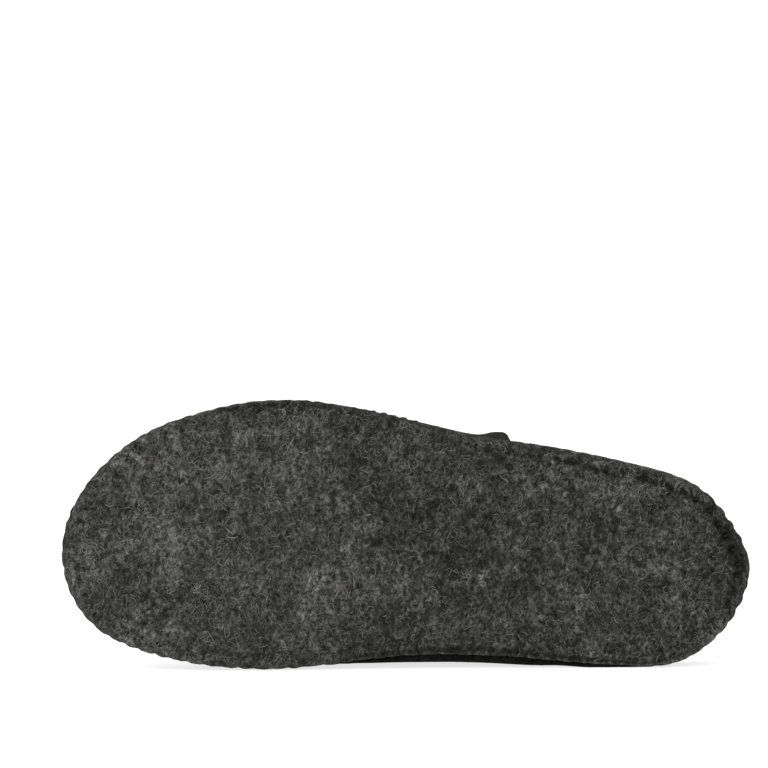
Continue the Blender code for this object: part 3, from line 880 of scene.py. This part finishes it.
def make_vamp():
    share = np.sin(np.pi / 2 * np.linspace(0, 1, VAMP_ROWS))
    low = WING_CORNER_TURN * np.linspace(0, 1, 16) ** 1.5
    turns = np.concatenate([low, mix(WING_CORNER_TURN, 1, np.linspace(0, 1, 38)[1:])])
    turn = np.concatenate([np.zeros(len(FLANGE_SHARES)), turns])[None, :]
    halves = []
    for side in ("outer", "inner"):
        face, tone = half_vamp(side, share, turns)
        halves.append((face, tone, crease_depth(face, turn + 0 * face[..., 0], side)))
    points, tone, depth = (
        np.concatenate([outer, inner[:, -2::-1]], axis=1) for outer, inner in zip(*halves)
    )
    swell = uneven(points, (0.3, 26.0, 4), (0.18, 8.0, 5), (0.1, 3.0, 6)) - depth
    keep = smooth_step((points[..., 2] - FLANGE_TOP - 0.5) / 4.0)
    points = points + grid_normals(points) * (swell * mix(0.25, 1, keep))[..., None]
    number = numbers(points)
    middle = halves[0][0].shape[1] - 1
    number[-1, middle + 1 :] = number[-1, :middle][::-1]
    # Painted shade low on the inner side goes into the vamp's tone
    tone = np.maximum(tone, painted_inner_shade(points))
    out = grid_normals(points)
    out[-1] = unit(out[-1] + out[-1, ::-1])
    borders = ("first row", "first column", "last column")
    obj = felt_shell("vamp_felt", number, points, out, tone, borders)
    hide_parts("vamp")
    ride(obj)
    return points


# The heel band

# The band's sewn ends press a little into the wings
JOINT_PRESS = 0.3


def wing_turn(side, height):
    """The turn at which the wing's edge has that height."""
    rise = read_table(VAMP_RIDGE, WING_FOOT_X, 2) - WALL_FOOT
    climb = np.maximum(0.0, (height - WALL_FOOT) / rise)
    return np.arcsin(climb ** (1 / shoulder(side, WING_FOOT_X))) / (math.pi / 2)


def make_band():
    limit = WING_FOOT_X + JOINT_PRESS
    first = RIM_LINE.s_at("inner", limit) - RIM_LINE.length
    last = RIM_LINE.s_at("outer", limit)
    s = np.linspace(first, last, 420)
    low, low_tone = flange(s)
    x = RIM_LINE.at(s)[0][:, 0]
    top = BAND_TOP + BAND_BACK_RISE * fade(x / 45.0)
    top = top + 0.35 * lumps(np.stack([x, 0 * x, s * 0.7], axis=-1), 14.0, 12)
    height = mix(WALL_FOOT, top[:, None], np.linspace(0, 1, 26) ** 1.2)
    side_x = np.broadcast_to(x[:, None], height.shape)
    walls = []
    for side in ("inner", "outer"):
        forward = vamp_edge_x(wing_turn(side, height)) - WING_FOOT_X
        foot_s = RIM_LINE.s_at(side, side_x + forward * (side_x / limit) ** 2)
        foot, out = RIM_LINE.at(foot_s, RIM)
        rise = height - WALL_FOOT
        swell = belly(side, side_x, rise) + gathers(foot_s, rise)
        walls.append(solid(foot + out * swell[..., None], height))
    wall = np.where((s < 0)[:, None, None], *walls)
    points = np.concatenate([low, wall], axis=1)[:, ::-1].transpose(1, 0, 2)
    tone = np.concatenate([low_tone, np.zeros_like(height)], axis=1)[:, ::-1].T
    swell = uneven(points, (0.3, 12.0, 4), (0.12, 3.0, 6))
    ends = smooth_step(np.minimum(s - first, last - s) / 6.0)
    keep = smooth_step((points[..., 2] - FLANGE_TOP) / 4.0) * ends
    points = points + grid_normals(points) * (swell * keep)[..., None]
    # Painted shade low on the inner side goes into the band's tone
    tone = np.maximum(tone, painted_inner_shade(points))
    borders = ("first row", "last row", "first column", "last column")
    obj = felt_shell("band_felt", numbers(points), points, grid_normals(points), tone, borders)
    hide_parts("heel_band")
    ride(obj)
    return points


# The footbed

BED_STATIONS = 520


def make_footbed():
    s = np.arange(BED_STATIONS) * RIM_LINE.length / BED_STATIONS
    base = SOLE_FELT + SEAM_GAP
    outer = s < RIM_LINE.outer[1][-1]

    def ring(inset):
        return RIM_LINE.at(s, FOOTBED_INSET + inset)[0]

    def top(plan, share):
        x = plan[..., 0]
        rise = np.where(outer, read_table(FOOTBED, x, 2), read_table(FOOTBED, x, 3))
        return base + read_table(FOOTBED, x, 1) + rise * share

    cup_in, cup_share = zip(*FOOTBED_CUP)
    flat = ring(cup_in[-1])
    spine = spine_of(flat)
    plans = [(mix(flat, spine, k / 16), 0.0, 0.0) for k in range(16, 0, -1)]
    for inset in np.linspace(cup_in[-1], 0.9, 24):
        plans.append((ring(inset), np.interp(inset, cup_in, cup_share), 0.0))
    for inset, drop in ((0.5, 0.1), (0.2, 0.35), (0.0, 0.8)):
        plans.append((ring(inset), 1.0, drop))
    rows = [solid(plan, top(plan, share) - drop) for plan, share, drop in plans]
    edge = top(ring(0.0), 1.0) - 0.8
    for share in (0.75, 0.5, 0.25, 0.0):
        rows.append(solid(ring(0.0), mix(base, edge, share)))
    points = np.array(rows)
    swell = uneven(points, (0.25, 14.0, 14), (0.14, 3.5, 15))
    swell *= smooth_step((points[..., 2] - base) / 2.0)
    points = points + grid_normals(points, wrap=True) * swell[..., None]
    obj = mesh_from("footbed_felt", points, quads_of(numbers(points), wrap=True), BED_LOOK)
    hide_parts("footbed")
    ride(obj)
    return points


# Yarn: whip stitches over the edge of the rim, and a lacing at each wing

# Section of one whip stitch: how far inside the rim's lobes, and height, from the hole in
# the tread to the one above
WHIP = (
    (5.1, 2.2), (4.7, 1.5), (3.8, 1.5), (2.6, 1.6), (1.5, 1.9), (0.9, 2.6), (0.5, 3.6),
    (0.35, 4.6), (0.4, 6.0), (0.6, 7.2), (1.2, 8.0), (2.2, 8.4), (3.4, 8.4), (4.4, 8.1),
    (5.0, 7.4), (5.1, 6.6),
)


def tubes(name, paths, radius, material, sides=7):
    """Round yarn along several paths of equal length, as one mesh."""
    paths = np.asarray(paths)
    along = unit(np.gradient(paths, axis=1))
    first = unit(np.cross(along, [0.31, 0.87, 0.38]))
    second = np.cross(along, first)
    angle = (np.arange(sides) * 2 * math.pi / sides)[:, None]
    ring = first[:, :, None] * np.cos(angle) + second[:, :, None] * np.sin(angle)
    bulge = radius * (1 + 0.14 * lumps(paths, 0.8, 21))
    points = paths[:, :, None] + ring * bulge[:, :, None, None]
    return mesh_from(name, points, quads_of(numbers(points), wrap=True), material)


def smooth_path(knots, steps):
    """A rounder path through the knots."""
    knots = np.asarray(knots, float)
    at = np.concatenate([[0], np.cumsum(np.linalg.norm(np.diff(knots, axis=0), axis=1))])
    rows = np.column_stack([at, knots])
    place = np.linspace(0, at[-1], steps)
    return np.stack([read_table(rows, place, k + 1) for k in range(knots.shape[1])], axis=-1)


WHIP_STEPS = 26
WHIP_SLANT = 1.6
# Lacing: stitches at each wing, height of the lowest, from one to the next, half width, slope
LACES = 4
LACE_LOW = 10.8
LACE_STEP = 3.4
LACE_REACH = 3.0
LACE_TILT = 1.3
LACE_YARN = 0.84


def make_yarn():
    inset, height = smooth_path(WHIP, WHIP_STEPS).T
    share = np.linspace(-0.5, 0.5, WHIP_STEPS)
    slant = WHIP_SLANT * share * smooth_step(np.arange(WHIP_STEPS) / 9.0)
    paths = []
    for k in range(STITCHES):
        s = STITCH_S[k] + slant
        lobe = lobe_height(s, 0.0, 1.0) * fade((inset - 0.5) / 3.5)
        plan, out = RIM_LINE.at(s, inset)
        paths.append(solid(plan + out * lobe[:, None], height))
    ride(tubes("rim_stitches", paths, YARN / 2, YARN_LOOK))

    lacing = []
    reach = np.linspace(-1, 1, 15)
    for side in ("inner", "outer"):
        for k in range(LACES):
            height = LACE_LOW + LACE_STEP * k
            edge_x = float(vamp_edge_x(wing_turn(side, np.array(height))))
            x = edge_x - 0.2 + LACE_REACH * reach
            foot, out = RIM_LINE.at(RIM_LINE.s_at(side, x), RIM)
            for tilt in (-LACE_TILT, LACE_TILT):
                z = height + tilt * reach
                proud = belly(side, x, z - WALL_FOOT) + 0.35 - 1.3 * np.abs(reach) ** 4
                proud += 0.35 * (tilt > 0) * (1 - reach**2)
                lacing.append(solid(foot + out * proud[:, None], z))
    ride(tubes("wing_lacing", lacing, LACE_YARN / 2, YARN_LOOK))


# Loose fibres: thin curled ribbons that lie on the felt

FIBRE_STEPS = 7
# More fibres run across the sole than along it
FIBRE_SPREAD = (1.5, 1.0, 1.0)
# The first row of the sole's section on which fibres lie
TREAD_FROM = 3
# Tufts of longer pale fibres on the tread: x, y, reach
TUFTS = (
    (177.4, 51.9, 1.6), (178.6, 42.1, 2.2), (188.8, 26.5, 2.4), (186.1, 22.5, 2.2),
    (247.0, 5.3, 2.6), (172.3, 55.0, 1.6), (249.0, 34.8, 1.6), (261.1, 6.1, 1.3),
    (256.8, 2.2, 1.6), (236.4, -31.4, 1.6), (258.4, -5.3, 1.5), (261.5, -9.6, 1.3),
    (202.0, 10.0, 2.4), (160.0, -14.0, 2.4), (215.0, -12.0, 2.6), (150.0, 12.0, 2.0),
    (62.0, 24.0, 2.2), (112.0, -8.0, 2.2), (88.0, 22.0, 1.8), (36.0, -6.0, 1.8),
    (47.7, 30.6, 1.8), (28.1, 28.0, 1.6), (43.2, 25.4, 2.2), (34.6, 31.0, 1.4),
    (11.6, -29.6, 2.0), (15.0, -32.6, 1.8),
)


def fibres(
    name, grid, wrap, count, length, material, seed, weight=None,
    width=(0.07, 0.19), tone=(0.0, 1.0), lift=(0.03, 0.35), curl=0.5,
):
    """Curled fibres over a grid of points. Lengths, widths and tones run between two values."""
    chance = np.random.default_rng(seed)
    quads = quads_of(numbers(grid), wrap)
    flat = grid.reshape(-1, 3)
    tree = BVHTree.FromPolygons(flat.tolist(), quads.tolist())
    a, b, c, d = (flat[quads[:, k]] for k in range(4))
    area = np.linalg.norm(np.cross(c - a, d - b), axis=1)
    if weight is not None:
        area *= weight.ravel()[quads].mean(axis=1)
    cell = chance.choice(len(quads), count, p=area / area.sum())
    u, v = chance.random((2, count, 1))
    spot = mix(mix(a[cell], b[cell], u), mix(d[cell], c[cell], u), v)
    normal = unit(np.cross((b - a)[cell], (d - a)[cell]))
    ahead = unit(np.cross(normal, chance.normal(size=(count, 3)) * FIBRE_SPREAD))
    step = (mix(*length, chance.random(count) ** 2) / FIBRE_STEPS)[:, None]
    bend = chance.normal(size=(count, 1)) * curl
    path, faces = [spot], [normal]
    for _ in range(FIBRE_STEPS):
        bend = 0.85 * (bend + chance.normal(size=(count, 1)) * curl * 0.8)
        turn = bend * step
        ahead = ahead * np.cos(turn) + np.cross(normal, ahead) * np.sin(turn)
        spot = spot + ahead * step
        nearest = [tree.find_nearest(p)[:2] for p in spot.tolist()]
        spot = np.array([tuple(place) for place, _ in nearest])
        normal = np.array([tuple(face) for _, face in nearest])
        ahead = unit(ahead - normal * (ahead * normal).sum(axis=1, keepdims=True))
        path.append(spot)
        faces.append(normal)
    path, faces = np.array(path).transpose(1, 0, 2), np.array(faces).transpose(1, 0, 2)
    hump = np.sin(np.pi * np.linspace(0, 1, FIBRE_STEPS + 1))
    rise = mix(*lift, chance.random((count, 1)) ** 3) * hump
    path = path + faces * (rise - 0.05)[..., None]
    across = unit(np.cross(np.gradient(path, axis=1), faces))
    half = mix(*width, chance.random((count, 1)) ** 2) / 2 * (0.35 + 0.65 * hump)
    half = across * half[..., None]
    points = np.stack([path - half, path + half], axis=2)
    number = numbers(points)
    own = mix(*tone, chance.random((count, 1, 1)) ** 2.6)
    tones = np.broadcast_to(own, number.shape)
    ride(mesh_from(name, points, quads_of(number), material, tone=tones))


def make_fibres(sole, hairy, vamp, band, bed):
    tread, hairy = sole[TREAD_FROM:], hairy[TREAD_FROM:]
    for k in range(3):
        fibres(
            f"sole_fibres_{k}", tread, True, 10000, (1.5, 7.0),
            SOLE_STRANDS, 31 + k, hairy,
        )
    near = np.zeros(tread.shape[:2])
    for x, y, reach in TUFTS:
        away = np.hypot(tread[..., 0] - x, tread[..., 1] - y) / reach
        near += bell(away) * (tread[..., 2] < tread_height(tread[..., 0]) + 2.0)
    fibres(
        "sole_tufts", tread, True, 420, (2.5, 6.0), SOLE_STRANDS, 37, near,
        width=(0.12, 0.3), tone=(0.5, 1.0), lift=(0.05, 0.5), curl=0.8,
    )
    fibres("vamp_fibres", vamp, False, 4500, (2.0, 6.0), DARK_STRANDS, 34)
    fibres("band_fibres", band, False, 1300, (2.0, 5.0), DARK_STRANDS, 35)
    fibres(
        "footbed_fibres", bed, True, 1500, (2.5, 7.0), BED_STRANDS, 36,
        tone=(0.1, 1.0),
    )


sole_points, sole_hair = make_sole()
vamp_points = make_vamp()
band_points = make_band()
bed_points = make_footbed()
make_yarn()
make_fibres(sole_points, sole_hair, vamp_points, band_points, bed_points)


# Camera, floor and light

# Middle of the picture in the slipper's frame, how far the camera stands and how wide it sees
AIM = (143.2, 67.8, 3.4)
DISTANCE = 6000.0
PICTURE_WIDTH = 301.8
ROLL_DEG = 0.41
SENSOR_WIDTH = 36.0


def make_camera():
    data = bpy.data.cameras.new("camera")
    data.sensor_width = SENSOR_WIDTH
    data.lens = SENSOR_WIDTH * DISTANCE / PICTURE_WIDTH
    data.clip_start, data.clip_end = 0.1, 50.0
    camera = add_object("camera", data)
    right, up, back = -TURN[:, 0], TURN[:, 1], -TURN[:, 2]
    c, s = math.cos(math.radians(ROLL_DEG)), math.sin(math.radians(ROLL_DEG))
    up, right = c * up + s * right, c * right - s * up
    spot = to_row(AIM) + back * DISTANCE / 1000
    matrix = Matrix.Identity(4)
    for k in range(3):
        matrix[k] = (right[k], up[k], back[k], spot[k])
    camera.matrix_world = matrix
    bpy.context.scene.camera = camera


FLOOR_REACH = 14.0
FLOOR_GLOW = 1.8
SKY = 1.08
# The lamp's place and what it faces, in metres, its width and its power in watts
KEY_SPOT = (-0.7, -1.9, 0.95)
KEY_AIM = (0.0, -0.02, 0.05)
KEY_WIDTH = 1.0
KEY_WATTS = 26.0


def make_floor():
    mesh = bpy.data.meshes.new("floor")
    r = FLOOR_REACH
    mesh.from_pydata([(-r, -r, 0), (r, -r, 0), (r, r, 0), (-r, r, 0)], [], [(0, 1, 2, 3)])
    n = Nodes("studio_floor")
    tint = n.ramp(n.noise((0, 0, 0), 400.0, 1.0), 0.3, 0.7)
    grey = n.blend(tint, (0.4, 0.4, 0.4, 1.0), (0.42, 0.42, 0.42, 1.0))
    looks = {
        "Base Color": grey,
        "Emission Color": grey,
        "Emission Strength": FLOOR_GLOW,
        "Roughness": 0.9,
        "Specular IOR Level": 0.1,
    }
    mesh.materials.append(n.finish(looks))
    floor = add_object("floor", mesh)


def make_light():
    world = bpy.data.worlds.new("studio")
    world.use_nodes = True
    sky = world.node_tree.nodes["Background"]
    sky.inputs["Color"].default_value = (1.0, 1.0, 1.0, 1.0)
    sky.inputs["Strength"].default_value = SKY
    scene = bpy.context.scene
    scene.world = world
    scene.view_settings.view_transform = "Standard"
    scene.view_settings.look = "None"
    data = bpy.data.lights.new("key", "AREA")
    data.shape, data.size, data.energy = "DISK", KEY_WIDTH, KEY_WATTS
    lamp = add_object("key", data)
    lamp.location = KEY_SPOT
    lamp.rotation_mode = "QUATERNION"
    lamp.rotation_quaternion = (Vector(KEY_AIM) - Vector(KEY_SPOT)).to_track_quat("-Z", "Y")


make_camera()
make_floor()
make_light()
